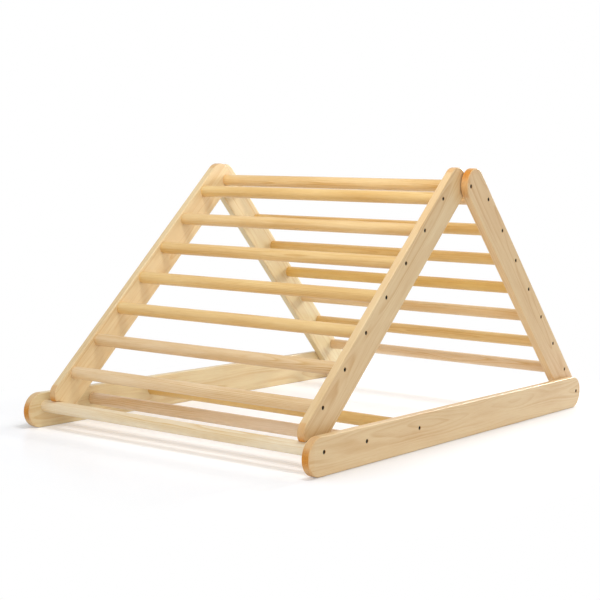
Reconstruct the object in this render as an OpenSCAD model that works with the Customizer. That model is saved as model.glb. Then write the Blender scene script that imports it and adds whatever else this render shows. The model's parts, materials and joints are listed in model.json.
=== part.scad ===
// Folding climbing triangle for small children.
// Two rung ladders lean on each other over a low base frame. The rear ladder turns on a bolt near the
// rear end of each base rail, the front ladder turns on the rear ladder at the top, and the notched feet
// of the front ladder sit on a cross dowel of the base.
// X runs along the rungs, +Y points to the rear and Z up. The origin is on the floor under the middle.

/* [Overall] */
// Clear width between the rails of the front ladder
inner_width = 764; // [500:1:900]
// Thickness of every rail
rail_t = 21; // [20:0.5:27]
// Gap that the hinge washers keep between rails that lie side by side
rail_gap = 2.5; // [2:0.5:4]
// Diameter of every rung and cross dowel
rung_d = 32; // [28:1:32]
// Radius of the eased edges of the rails
ease_r = 3; // [1:0.5:3]
// Depth of the blind sockets that hold the rung ends
socket_depth = 8; // [6:0.5:9]

/* [Base frame] */
// Height of a base rail, which stands on edge
base_h = 90; // [88:1:100]
// Length of a base rail over its round ends
base_len = 1380; // [1378:1:1440]
// From the rear tip of a base rail to the rear pivot
pivot_inset = 28; // [24:1:44]
// Height of the rear pivot above the floor
foot_pivot_z = 48; // [47:0.5:56]
// Height of the cross dowels above the floor
dowel_z = 55; // [48:0.5:60]
// From the rear pivot forward to the front cross dowel, which carries the feet of the front ladder
front_dowel_reach = 1294; // [1240:1:1296]
// From the rear pivot forward to the middle cross dowel, a steeper place for the feet
middle_dowel_reach = 1123; // [1060:1:1180]
// From the rear pivot forward to the rear cross dowel, the steepest place for the feet
rear_dowel_reach = 890; // [860:1:1000]

/* [Ladders] */
// Width of a ladder rail
rail_w = 87; // [85:1:92]
// From the centre line of a rail out to its rung axes
rung_offset = 23; // [18:0.5:23]
// Rung spacing of the front ladder
front_pitch = 115; // [112:1:118]
// From the centre of the round top end to the first rung of the front ladder
front_first = 78; // [74:1:84]
// From the last rung of the front ladder to the cross dowel that its feet sit on
front_last = 101; // [96:1:110]
// From the square end of a foot to the axis of that cross dowel
foot_cut = 5; // [4:0.5:8]
// Corner radius of the square end of a foot
foot_corner = 20; // [12:1:22]
// Rung spacing of the rear ladder
rear_pitch = 118; // [114:1:120]
// From the centre of the round top end to the first rung of the rear ladder
rear_first = 75; // [72:1:84]
// From the last rung of the rear ladder to the rear pivot
rear_last = 71; // [66:1:80]
// From the top hinge down along the rail to the centre of its round end
hinge_drop = 16; // [10:0.5:18]
// From the top hinge out to the centre line of each rail, so that the folded ladders lie side by side
hinge_offset = 20.5; // [19.5:0.5:22]

/* [Hardware] */
// Head diameter of the rung screws
screw_head_d = 10; // [8:0.5:11]
// Head height of the rung screws
screw_head_h = 4; // [3:0.5:4.5]
// Length of the rung screws under the head
screw_len = 45; // [35:1:60]
// Shank diameter of the rung screws
screw_d = 5; // [4:0.5:5.5]
// Depth of the heads of screws and bolts below the wood
head_sink = 1; // [0.5:0.5:1.5]
// Diameter of the hinge bolts
bolt_d = 6; // [6:0.5:7]
// Head diameter of the hinge bolts
bolt_head_d = 10; // [10:0.5:12]
// Head height of the hinge bolts
bolt_head_h = 4; // [3:0.5:4.5]
// Outer diameter of the threaded inserts
insert_d = 10; // [10:0.5:12]
// Length of the threaded inserts
insert_len = 14; // [12:0.5:14.5]
// Outer diameter of the hinge washers
washer_d = 20; // [16:0.5:22]

/* [Hidden] */
$fn = 64;
rung_count = 7;
// play between parts that turn on each other, between glued or screwed parts, and beside moving faces
run_play = 0.05;
seat_play = 0.1;
face_play = 0.1;
head_play = 0.3;
// play of the foot notch around the cross dowel
notch_play = 1;
// bevels on the ends of rungs and dowels and on the heads of screws and bolts
rung_bevel = 1;
head_bevel = 0.5;
// mouth flange of the threaded inserts: its height, and how far it stands out all round
flange_h = 1.5;
flange_rim = 1;
// free space between the tip of a foot bolt and the floor of its insert hole
bolt_tip_gap = 2;
// overshoot of every cutter
over = 1;
// hexagon sockets of the screws and bolts, across flats
screw_key = 3;
bolt_key = 4;
key_depth = 2.2;

wood_rail = "burlywood";
wood_rung = "wheat";
dark_metal = "dimgray";
bright_metal = "silver";

// inner faces of the three rail layers, from the inside out
front_x = inner_width / 2;
rear_x = front_x + rail_t + rail_gap;
base_x = rear_x + rail_t + rail_gap;

// distances from the top hinge along a rail to the front cross dowel and to the rear pivot
front_foot = hinge_drop + front_first + (rung_count - 1) * front_pitch + front_last;
rear_foot = hinge_drop + rear_first + (rung_count - 1) * rear_pitch + rear_last;

// triangle of front ladder, rear ladder and base, from pivot to pivot
front_link = norm([front_foot, hinge_offset]);
rear_link = norm([rear_foot, hinge_offset]);
base_link = norm([front_dowel_reach, dowel_z - foot_pivot_z]);
base_rise = atan2(dowel_z - foot_pivot_z, front_dowel_reach);
rear_link_slope = corner(rear_link, base_link, front_link) + base_rise;
front_link_slope = corner(front_link, base_link, rear_link) - base_rise;
rear_slope = rear_link_slope + atan2(hinge_offset, rear_foot);
front_slope = front_link_slope + atan2(hinge_offset, front_foot);

// places along the base and the height of the top hinge
foot_y = (base_len - pivot_inset - max(pivot_inset, rail_w / 2)) / 2;
base_rear_y = foot_y + pivot_inset;
base_front_y = base_rear_y - base_len;
dowel_ys = [for (reach = [front_dowel_reach, middle_dowel_reach, rear_dowel_reach]) foot_y - reach];
apex_y = foot_y - rear_link * cos(rear_link_slope);
apex_z = foot_pivot_z + rear_link * sin(rear_link_slope);

rung_numbers = [1 : rung_count];
RUNG_NODES = [for (side = ["front", "rear"], n = rung_numbers) str(side, "_rung_", n)];

// angle between sides a and b of a triangle whose third side is c
function corner(a, b, c) = acos((a * a + b * b - c * c) / (2 * a * b));

// distance from the top hinge along the rail to rung n
function front_rung_at(n) = hinge_drop + front_first + (n - 1) * front_pitch;
function rear_rung_at(n) = hinge_drop + rear_first + (n - 1) * rear_pitch;

// ---- placing ----

// children drawn on the +X side, once there and once mirrored to the -X side
module both_sides() {
    children();
    mirror([1, 0, 0]) children();
}

// ladder frames: the origin is on the top hinge and +Z points out of the climbing face;
// the front ladder runs down along -Y and the rear ladder along +Y
module in_front_ladder() {
    translate([0, apex_y, apex_z]) rotate([front_slope, 0, 0]) children();
}

module in_rear_ladder() {
    translate([0, apex_y, apex_z]) rotate([-rear_slope, 0, 0]) children();
}

// the axis of rung n, inside a ladder frame
module at_front_rung(n) {
    translate([0, -front_rung_at(n), hinge_offset + rung_offset]) children();
}

module at_rear_rung(n) {
    translate([0, rear_rung_at(n), hinge_offset + rung_offset]) children();
}

// ---- shapes ----

// cross section of a rail: thickness along x from its inner face, width w along y, corners eased
module rail_section(w) {
    translate([ease_r, -w / 2]) square([rail_t - 2 * ease_r, w]);
    translate([0, ease_r - w / 2]) square([rail_t, w - 2 * ease_r]);
    for (x = [ease_r, rail_t - ease_r], y = [ease_r - w / 2, w / 2 - ease_r]) {
        translate([x, y]) circle(r = ease_r);
    }
}

// half disc of radius r and the thickness of a rail, on the +Y side, its rim eased
module rail_corner(r) {
    rotate([0, 90, 0]) rotate_extrude(angle = 180) {
        translate([0, ease_r]) square([r, rail_t - 2 * ease_r]);
        square([r - ease_r, rail_t]);
        for (y = [ease_r, rail_t - ease_r]) {
            translate([r - ease_r, y]) circle(r = ease_r);
        }
    }
}

// end of a rail of width w from y = 0 to y = r, with corners of radius r; r = w / 2 makes it full round
module rail_end(w, r) {
    side = w / 2 - r;
    if (side == 0) {
        rail_corner(r);
    } else {
        for (z = [-side, side]) translate([0, 0, z]) rail_corner(r);
        translate([0, 0, -side]) linear_extrude(2 * side) {
            translate([ease_r, 0]) square([rail_t - 2 * ease_r, r]);
            square([rail_t, r - ease_r]);
            for (x = [ease_r, rail_t - ease_r]) {
                translate([x, r - ease_r]) circle(r = ease_r);
            }
        }
    }
}

// rail of width w along Y from tip to tip, inner face at x = 0: corners of radius from_r at the
// start, and a full-round end
module rail(w, from_y, to_y, from_r) {
    straight_from = from_y + from_r;
    straight_to = to_y - w / 2;
    translate([0, straight_from, 0]) rotate([-90, 0, 0])
        linear_extrude(straight_to - straight_from) rail_section(w);
    translate([0, straight_to, 0]) rail_end(w, w / 2);
    translate([0, straight_from, 0]) mirror([0, 1, 0]) rail_end(w, from_r);
}

// blind socket for a rung end, cut into an inner face at x = 0
module rung_socket() {
    translate([-over, 0, 0]) rotate([0, 90, 0]) cylinder(d = rung_d + 2 * seat_play, h = over + socket_depth);
}

// through hole with a flat-bottomed recess for a head, cut from an outer face at x = rail_t
module headed_hole(hole_d, recess_d, recess_h) {
    translate([-over, 0, 0]) rotate([0, 90, 0]) cylinder(d = hole_d, h = rail_t + 2 * over);
    translate([rail_t - recess_h, 0, 0]) rotate([0, 90, 0]) cylinder(d = recess_d, h = recess_h + over);
}

// everything that a rung or cross dowel needs in a rail: its socket and the hole of its screw
module rung_seat() {
    rung_socket();
    headed_hole(screw_d + 2 * seat_play, screw_head_d + 2 * seat_play, screw_head_h + head_sink);
}

// plain through bore in a rail
module rail_bore(d) {
    translate([-over, 0, 0]) rotate([0, 90, 0]) cylinder(d = d, h = rail_t + 2 * over);
}

// rounding of a bore's mouth, cut into an inner face at x = 0
module mouth_easing(d) {
    rotate([0, 90, 0]) rotate_extrude() difference() {
        translate([d / 2 - over, -over]) square([ease_r + over, ease_r + over]);
        translate([d / 2 + ease_r, ease_r]) circle(r = ease_r);
    }
}

// notch of a foot: a bore on the axis of the cross dowel, just past the end of the rail, so that less than
// half of it is cut and the dowel comes out freely; its edges are eased like the outline's
module foot_notch(d) {
    rail_bore(d);
    mouth_easing(d);
    translate([rail_t, 0, 0]) mirror([1, 0, 0]) mouth_easing(d);
}

// round bar along X, centred, with bevelled ends and a blind hole in each end
module round_bar(len, hole_d, hole_depth) {
    r = rung_d / 2;
    end = len / 2;
    rotate([0, 90, 0]) rotate_extrude() polygon([
        [0, hole_depth - end],
        [hole_d / 2, hole_depth - end],
        [hole_d / 2, -end],
        [r - rung_bevel, -end],
        [r, rung_bevel - end],
        [r, end - rung_bevel],
        [r - rung_bevel, end],
        [hole_d / 2, end],
        [hole_d / 2, end - hole_depth],
        [0, end - hole_depth]
    ]);
}

// rung whose ends reach the floors of sockets cut into inner faces at x = face_x and -face_x
module rung(face_x) {
    wall = rail_t - socket_depth - screw_head_h - head_sink;
    round_bar(2 * (face_x + socket_depth), screw_d + 2 * seat_play, screw_len - wall + 2 * over);
}

// screw or bolt with a flat-seated head and hexagon socket, head seat at x = 0, shank towards -X
module headed_fastener(d, len, head_d, head_h, key) {
    point = d / 2;
    difference() {
        rotate([0, 90, 0]) rotate_extrude() polygon([
            [0, -len],
            [d / 2 - point / 2, -len],
            [d / 2, point - len],
            [d / 2, 0],
            [head_d / 2, 0],
            [head_d / 2, head_h - head_bevel],
            [head_d / 2 - head_bevel, head_h],
            [0, head_h]
        ]);
        translate([head_h - key_depth, 0, 0]) rotate([0, 90, 0])
            cylinder(d = key / cos(30), h = key_depth + over, $fn = 6);
    }
}

// rung screw with its head seated in a rail whose inner face is at x = face_x
module rung_screw(face_x) {
    translate([face_x + rail_t - head_sink - screw_head_h, 0, 0])
        headed_fastener(screw_d, screw_len, screw_head_d, screw_head_h, screw_key);
}

// hinge bolt with its head in the recess of an outer rail whose inner face is at x = face_x
module hinge_bolt(face_x, len) {
    translate([face_x + rail_t - head_sink - bolt_head_h + face_play, 0, 0])
        headed_fastener(bolt_d, len, bolt_head_d, bolt_head_h, bolt_key);
}

// recess and running bore of a hinge bolt in an outer rail
module hinge_seat() {
    headed_hole(bolt_d + 2 * run_play, bolt_head_d + 2 * head_play, bolt_head_h + head_sink);
}

// flat ring of the hinge, from x = 0 to just short of the next rail
module hinge_washer() {
    rotate([0, 90, 0]) difference() {
        cylinder(d = washer_d, h = rail_gap - face_play);
        translate([0, 0, -over]) cylinder(d = bolt_d + 4 * seat_play, h = rail_gap + 2 * over);
    }
}

// threaded insert with its flanged mouth at x = 0, sunk towards -X
module threaded_insert() {
    rotate([0, 90, 0]) difference() {
        union() {
            translate([0, 0, -insert_len]) cylinder(d = insert_d, h = insert_len);
            translate([0, 0, -flange_h]) cylinder(d = insert_d + 2 * flange_rim, h = flange_h);
        }
        translate([0, 0, -insert_len - over]) cylinder(d = bolt_d + run_play, h = insert_len + 2 * over);
    }
}

// hole for a threaded insert, its mouth at x = 0
module insert_hole() {
    flange_d = insert_d + 2 * flange_rim;
    rotate([0, 90, 0]) {
        translate([0, 0, -insert_len]) cylinder(d = insert_d + 2 * run_play, h = insert_len + over);
        translate([0, 0, -flange_h]) cylinder(d = flange_d + 2 * run_play, h = flange_h + over);
    }
}

// ---- base frame ----

// right base rail, with the sockets of the three cross dowels and the rear pivot
module base_rail() {
    color(wood_rail) translate([base_x, 0, 0]) difference() {
        translate([0, 0, base_h / 2]) rail(base_h, base_front_y, base_rear_y, base_h / 2);
        for (y = dowel_ys) translate([0, y, dowel_z]) rung_seat();
        translate([0, foot_y, foot_pivot_z]) hinge_seat();
    }
}

module base_rail_right() { base_rail(); }

module base_rail_left() { mirror([1, 0, 0]) base_rail(); }

module base_dowel(n) {
    color(wood_rung) translate([0, dowel_ys[n], dowel_z]) rung(base_x);
}

module base_screws() {
    color(dark_metal) both_sides() {
        for (y = dowel_ys) translate([0, y, dowel_z]) rung_screw(base_x);
    }
}

// ---- rear ladder ----

// right rear rail: it turns on the top bolt, and the foot bolt is screwed into its foot
module rear_rail() {
    color(wood_rail) in_rear_ladder() translate([rear_x, 0, 0]) difference() {
        translate([0, 0, hinge_offset])
            rail(rail_w, hinge_drop - rail_w / 2, rear_foot + rail_w / 2, rail_w / 2);
        for (n = rung_numbers) at_rear_rung(n) rung_seat();
        hinge_seat();
        translate([rail_t, rear_foot, hinge_offset]) insert_hole();
    }
}

module rear_rail_right() { rear_rail(); }

module rear_rail_left() { mirror([1, 0, 0]) rear_rail(); }

module rear_rung(n) {
    color(wood_rung) in_rear_ladder() at_rear_rung(n) rung(rear_x);
}

module rear_screws() {
    color(dark_metal) in_rear_ladder() both_sides() {
        for (n = rung_numbers) at_rear_rung(n) rung_screw(rear_x);
    }
}

// ---- front ladder ----

// right front rail, with a square-ended foot that is notched for the cross dowel
module front_rail() {
    color(wood_rail) in_front_ladder() translate([front_x, 0, 0]) difference() {
        translate([0, 0, hinge_offset])
            rail(rail_w, foot_cut - front_foot, rail_w / 2 - hinge_drop, foot_corner);
        for (n = rung_numbers) at_front_rung(n) rung_seat();
        rail_bore(bolt_d + 4 * seat_play);
        translate([0, -front_foot, hinge_offset]) foot_notch(rung_d + 2 * notch_play);
    }
}

module front_rail_right() { front_rail(); }

module front_rail_left() { mirror([1, 0, 0]) front_rail(); }

module front_rung(n) {
    color(wood_rung) in_front_ladder() at_front_rung(n) rung(front_x);
}

module front_screws() {
    color(dark_metal) in_front_ladder() both_sides() {
        for (n = rung_numbers) at_front_rung(n) rung_screw(front_x);
    }
}

// ---- hinges ----

// round bar on the top hinge axis, between the front rails, with an insert hole in each end
module hinge_dowel() {
    color(wood_rung) in_front_ladder() difference() {
        round_bar(2 * front_x, bolt_d + 4 * seat_play, 2 * insert_len);
        both_sides() translate([front_x, 0, 0]) insert_hole();
    }
}

module apex_bolts() {
    len = rear_x + rail_t - front_x + insert_len;
    color(dark_metal) in_front_ladder() both_sides() hinge_bolt(rear_x, len);
}

module apex_washers() {
    color(bright_metal) in_front_ladder() both_sides() translate([front_x + rail_t, 0, 0]) hinge_washer();
}

module apex_inserts() {
    color(bright_metal) in_front_ladder() both_sides() translate([front_x, 0, 0]) threaded_insert();
}

module at_foot_pivot() {
    in_rear_ladder() both_sides() translate([0, rear_foot, hinge_offset]) children();
}

module foot_bolts() {
    len = base_x - rear_x + insert_len - head_sink - bolt_head_h - bolt_tip_gap;
    color(dark_metal) at_foot_pivot() hinge_bolt(base_x, len);
}

module foot_washers() {
    color(bright_metal) at_foot_pivot() translate([rear_x + rail_t, 0, 0]) hinge_washer();
}

module foot_inserts() {
    color(bright_metal) at_foot_pivot() translate([rear_x + rail_t, 0, 0]) threaded_insert();
}

base_rail_right();
base_rail_left();
base_dowel(0);  // base_dowel_front
base_dowel(1);  // base_dowel_middle
base_dowel(2);  // base_dowel_rear
base_screws();
rear_rail_right();
rear_rail_left();
rear_screws();
front_rail_right();
front_rail_left();
front_screws();
hinge_dowel();
apex_bolts();
apex_washers();
apex_inserts();
foot_bolts();
foot_washers();
foot_inserts();
for (n = rung_numbers) {
    front_rung(n);
    rear_rung(n);
}
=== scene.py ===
# %% [markdown]
# # Folding climbing triangle: the looks
# Two rung ladders lean on each other over a low base frame, all of pale, clear-lacquered wood. The
# construction comes packed as a fixed frame: every piece at its real size in metres, with the joints it
# turns on. This script remakes the wood and the screws with finer surfaces where the frame has them, gives
# each its finish, and sets up a plain white studio. It reads nothing from disk but the frame.

# %% Load the frame
import json
import math

import bpy
import numpy as np
from mathutils import Euler, Matrix, Vector

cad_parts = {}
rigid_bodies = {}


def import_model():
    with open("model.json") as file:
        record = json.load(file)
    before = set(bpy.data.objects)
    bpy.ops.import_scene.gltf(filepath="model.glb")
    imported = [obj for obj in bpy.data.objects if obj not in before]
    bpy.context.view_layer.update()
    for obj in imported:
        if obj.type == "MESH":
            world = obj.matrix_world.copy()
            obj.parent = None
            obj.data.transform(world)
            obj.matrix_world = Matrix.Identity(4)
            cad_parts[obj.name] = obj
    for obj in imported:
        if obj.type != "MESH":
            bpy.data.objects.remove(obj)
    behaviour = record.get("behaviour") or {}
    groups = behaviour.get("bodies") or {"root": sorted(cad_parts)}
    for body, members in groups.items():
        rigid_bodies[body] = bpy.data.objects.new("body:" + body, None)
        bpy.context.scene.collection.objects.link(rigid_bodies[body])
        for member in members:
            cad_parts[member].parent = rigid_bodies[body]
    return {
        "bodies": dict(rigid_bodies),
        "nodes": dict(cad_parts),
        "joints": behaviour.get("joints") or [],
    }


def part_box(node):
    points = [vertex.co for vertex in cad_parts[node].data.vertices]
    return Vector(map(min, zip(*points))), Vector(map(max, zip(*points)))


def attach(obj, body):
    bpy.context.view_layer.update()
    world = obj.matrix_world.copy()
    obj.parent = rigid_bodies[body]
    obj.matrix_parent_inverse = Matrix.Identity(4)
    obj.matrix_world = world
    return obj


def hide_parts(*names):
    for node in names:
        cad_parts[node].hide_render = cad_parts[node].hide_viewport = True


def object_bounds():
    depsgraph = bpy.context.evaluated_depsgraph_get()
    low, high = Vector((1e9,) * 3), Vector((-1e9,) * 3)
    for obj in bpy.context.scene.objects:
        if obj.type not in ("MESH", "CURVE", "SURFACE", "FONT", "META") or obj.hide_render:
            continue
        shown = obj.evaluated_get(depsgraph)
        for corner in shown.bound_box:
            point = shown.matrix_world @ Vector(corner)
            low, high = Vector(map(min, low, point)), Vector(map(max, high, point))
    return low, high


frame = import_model()
cad_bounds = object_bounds()
MM = 0.001                # a millimetre, as the frame is in metres
OVER = 2 * MM             # how far every cutter overshoots
RUNGS = range(1, 8)       # the rungs of each ladder, counted from the top

# %% [markdown]
# ## Small helpers
# Both geometry trees and materials are made of nodes, so one function adds a node of either kind. A value
# goes to an input, a node's output is linked to it, and a node by itself stands for its first output. The
# others make an empty tree whose sizes are named inputs, fill those inputs in by the sockets' identifiers,
# and turn the result into a plain mesh.

# %% Helpers for nodes and trees
def add_node(tree, kind, links=None, **settings):
    """Adds a node with its settings. links maps an input's name or number to a value, output or node."""
    node = tree.nodes.new(kind)
    for name, value in settings.items():
        setattr(node, name, value)
    for key, value in (links or {}).items():
        if isinstance(value, bpy.types.Node):
            value = value.outputs[0]
        if isinstance(value, bpy.types.NodeSocket):
            tree.links.new(value, node.inputs[key])
        else:
            node.inputs[key].default_value = value
    return node


def new_tree(name, inputs):
    """A Geometry Nodes tree with a geometry input and output and the named inputs {label: kind}."""
    tree = bpy.data.node_groups.new(name, "GeometryNodeTree")
    tree.interface.new_socket("Geometry", in_out="OUTPUT", socket_type="NodeSocketGeometry")
    tree.interface.new_socket("Geometry", in_out="INPUT", socket_type="NodeSocketGeometry")
    for label, kind in inputs.items():
        tree.interface.new_socket(label, in_out="INPUT", socket_type="NodeSocket" + kind)
    return tree, add_node(tree, "NodeGroupInput").outputs


def run_tree(holder, tree, values):
    """Puts a tree on an object as a modifier and fills in its inputs."""
    modifier = holder.modifiers.new(tree.name, "NODES")
    modifier.node_group = tree
    for item in tree.interface.items_tree:
        if item.in_out == "INPUT" and item.name in values:
            modifier[item.identifier] = values[item.name]


def points_object(name, points, **numbers):
    """A mesh of loose points for a tree to work on, with a named number for each point."""
    mesh = bpy.data.meshes.new(name)
    mesh.from_pydata([tuple(p) for p in points], [], [])
    for label, column in numbers.items():
        mesh.attributes.new(label, "FLOAT", "POINT").data.foreach_set("value", column)
    holder = bpy.data.objects.new(name, mesh)
    bpy.context.scene.collection.objects.link(holder)
    return holder


def bake_down(holder):
    """Turns an object with modifiers into a plain mesh, and takes the object away."""
    evaluated = holder.evaluated_get(bpy.context.evaluated_depsgraph_get())
    mesh = bpy.data.meshes.new_from_object(evaluated)
    bpy.data.objects.remove(holder)
    return mesh


def hand_over(name, mesh, slot, *nodes):
    """Makes the finished piece: it rides on the body of the CAD nodes that it stands for."""
    piece = bpy.data.objects.new(name, mesh)
    bpy.context.scene.collection.objects.link(piece)
    parent = frame["nodes"][nodes[0]].parent
    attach(piece, next(body for body, empty in frame["bodies"].items() if empty == parent))
    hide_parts(*nodes)
    print(name, len(mesh.polygons), "faces, stands for", len(nodes), "nodes")


# %% [markdown]
# ## Where things are
# Nothing is placed by eye. The middle of each rung's box gives the rung's axis, and the line from the first
# rung to the last gives the slope of a ladder. Each board is described in its own bench frame: x runs along
# the board, y across its width and z out of its outer face, as if it lay on a workbench.

# %% Measure the frame
def middle(node):
    """The middle of a node's box."""
    low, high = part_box(node)
    return (low + high) / 2


def bench(origin, along, side):
    """Matrix from a board's bench frame to its place: side is 1 for the right board and -1 for the left."""
    x_axis = Vector(along).normalized()
    z_axis = Vector((side, 0, 0))
    y_axis = z_axis.cross(x_axis)
    return Matrix.Translation(origin) @ Matrix((x_axis, y_axis, z_axis)).transposed().to_4x4()


def extent(node, place):
    """Lowest and highest corner of a node in a bench frame."""
    to_bench = place.inverted()
    corners = np.array([to_bench @ v.co for v in frame["nodes"][node].data.vertices])
    return corners.min(0), corners.max(0)


joints = {j["name"]: j for j in frame["joints"]}
foot_pivot = Vector(joints["rear_fold"]["pos_m"])
top_hinge = Vector(joints["front_fold"]["pos_m"])
front_rungs = [middle(f"front_rung_{n}") for n in RUNGS]
rear_rungs = [middle(f"rear_rung_{n}") for n in RUNGS]
dowels = [middle(f"base_dowel_{where}") for where in ("front", "middle", "rear")]
down_front = (front_rungs[-1] - front_rungs[0]).normalized()
down_rear = (rear_rungs[-1] - rear_rungs[0]).normalized()
low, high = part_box("front_rung_1")
rung_radius = (high.z - low.z) / 2
print("front slope", round(math.degrees(math.asin(-down_front.z)), 1), "degrees, rungs",
      round(2 * rung_radius / MM), "mm thick")

# %% [markdown]
# ## Wood that is cut from a log
# A lacquered board shows its growth rings three ways: as long lines and arches on its faces, as fine
# straight lines on its edges and as arcs on its ends. A pattern painted on each face would never meet at the
# edges, so the rings are made in space: distance from the heart of the log, in millimetres, bent a little by
# noise that changes slowly along the grain. Every face then cuts through the same rings, as a saw does.
#
# Each piece brings what its finish needs as attributes, stored while it still lies on the bench: "grain" is
# its place in the log with x along the grain, "grain_axis" the direction of the grain, "tone" how golden
# this piece is, and "past_start" and "past_end" how far a point is from the two ends. Where tones differ at
# random they are the wood's own. The lower tones of the left boards are painted light, which makes them
# paler, and the higher tones of the rear rungs are partly painted shade. End grain drinks the finish like a
# bundle of straws, so cut ends turn orange brown and rather dull, and the colour creeps a few millimetres
# back into the faces.

# %% Colour helper
def srgb(text):
    """Linear colour of an sRGB hex value."""
    parts = [int(text[i:i + 2], 16) / 255 for i in (1, 3, 5)]
    return [c / 12.92 if c <= 0.04045 else ((c + 0.055) / 1.055) ** 2.4 for c in parts] + [1.0]


# %% Growth rings
NOISES = {                     # size along the grain and across it in millimetres, and detail
    "bend": (420, 70, 1.5),    # slow curves of the trunk
    "fibre": (30, 0.9, 3.0),   # pores and fibres
    "cloud": (260, 34, 2.0),   # broad paler and darker areas
    "patch": (500, 22, 1.0),   # where the rings show and where they fade
    "creep": (14, 3.0, 2.0),   # how far the finish soaks in, fibre by fibre
}
BEND_MM = 22                   # width of the band in which the bend noise moves a ring about
DRIFT_PER_MM = 0.09            # how quickly the width of the rings wanders on the way out
DRIFT_RINGS = 3.0              # how many rings it gains or loses by that at most
RING_PEAK = 0.86               # where in a ring the late wood is darkest, of 0 to 1
RING_SLOPES = ((0.45, 0.12), (0.97, 0.1))   # two other places in a ring, and how dark it is there


def growth_rings(tree, mm, bend, ring_mm):
    """The late wood of rings of uneven width: distance from the heart of the log, bent by noise."""
    sway = add_node(tree, "ShaderNodeVectorMath", {0: bend.outputs["Color"], 1: (0.5, 0.5, 0.5)},
                    operation="SUBTRACT")
    swayed = add_node(tree, "ShaderNodeVectorMath", {0: sway, 1: (0, BEND_MM, BEND_MM), 2: mm},
                      operation="MULTIPLY_ADD")
    slice_ = add_node(tree, "ShaderNodeVectorMath", {0: swayed, 1: (0, 1, 1)}, operation="MULTIPLY")
    radius = add_node(tree, "ShaderNodeVectorMath", {0: slice_}, operation="LENGTH").outputs["Value"]
    years = add_node(tree, "ShaderNodeMath", {0: radius, 1: 1 / ring_mm}, operation="MULTIPLY")
    slow = add_node(tree, "ShaderNodeMath", {0: radius, 1: DRIFT_PER_MM}, operation="MULTIPLY")
    uneven = add_node(tree, "ShaderNodeTexNoise", {"W": slow, "Scale": 1.0}, noise_dimensions="1D")
    count = add_node(tree, "ShaderNodeMath", {0: uneven, 1: DRIFT_RINGS, 2: years},
                     operation="MULTIPLY_ADD")
    ring = add_node(tree, "ShaderNodeMath", {0: count}, operation="FRACT")
    late = add_node(tree, "ShaderNodeValToRGB", {"Fac": ring})
    late.color_ramp.elements[0].color = (0, 0, 0, 1)
    late.color_ramp.elements[1].position = RING_PEAK
    for position, level in RING_SLOPES:
        late.color_ramp.elements.new(position).color = (level, level, level, 1)
    return late


# %% Soaked ends
SOAK_MM = 3.0                  # how far the end colour creeps along the fibres
SOAK_LONGEST, SOAK_SHORTEST = 1.6, 0.5   # its length in single fibres, as shares of that
SOAK_SHARE = 0.4               # how much of the end colour creeps back into the faces
CREEP_FROM, CREEP_TO = 0.3, 0.7   # creep noise that gives the longest and the shortest creep
SQUARE_FROM = 0.7              # cosine from the fibres to a face's normal where it starts to drink


def soaked_ends(tree, own, creep):
    """Full on a face cut square across the grain, less on a slant, and fading from the nearer end."""
    facing = add_node(tree, "ShaderNodeTexCoord").outputs["Normal"]
    across = add_node(tree, "ShaderNodeVectorMath", {0: own["grain_axis"].outputs["Vector"], 1: facing},
                      operation="DOT_PRODUCT").outputs["Value"]
    turned = add_node(tree, "ShaderNodeMath", {0: across}, operation="ABSOLUTE")
    cut = add_node(tree, "ShaderNodeMapRange", {"Value": turned, "From Min": SQUARE_FROM, "From Max": 1.0})
    nearer = add_node(tree, "ShaderNodeMath", {0: own["past_start"].outputs["Fac"],
                                               1: own["past_end"].outputs["Fac"]}, operation="MINIMUM")
    reach = add_node(tree, "ShaderNodeMapRange", {"Value": creep, "From Min": CREEP_FROM,
                                                  "From Max": CREEP_TO,
                                                  "To Min": -SOAK_LONGEST * SOAK_MM * MM,
                                                  "To Max": -SOAK_SHORTEST * SOAK_MM * MM})
    fading = add_node(tree, "ShaderNodeMath", {0: nearer, 1: reach}, operation="DIVIDE")
    soak = add_node(tree, "ShaderNodeMath", {0: fading}, operation="EXPONENT")
    soaked = add_node(tree, "ShaderNodeMath", {0: soak, 1: SOAK_SHARE}, operation="MULTIPLY")
    return add_node(tree, "ShaderNodeMath", {0: cut, 1: soaked}, operation="MAXIMUM")


# %% The wood material
RING_STRENGTH = 0.5            # how much the late wood darkens where the rings show fully
PATCH_FROM, PATCH_TO = 0.3, 0.75   # patch noise where the rings begin to show, and show fully
FIBRE_STRENGTH, CLOUD_STRENGTH = 0.5, 0.7   # how much the fibres and the clouds darken
PALE_UP_TO, DARK_FROM = 0.42, 1.2   # sum of rings, fibres and clouds at the pale and the dark colour
STAIN_PALE, STAIN_DARK = "#EAA63C", "#B05C0A"   # colours of the soaked ends
RELIEF_MM = 0.06               # height that the relief stands for
LATE_RELIEF, RELIEF_STRENGTH = 0.4, 0.35   # late wood against the fibres in it, and how much it shows
SATIN, FIBRE_DULLS, ENDS_DULL = 0.34, 0.14, 0.3   # roughness, and what fibres and soaked ends add
LACQUER, LACQUER_ROUGHNESS = 0.3, 0.22   # the clear coat on the faces, which soaked ends lack


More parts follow.
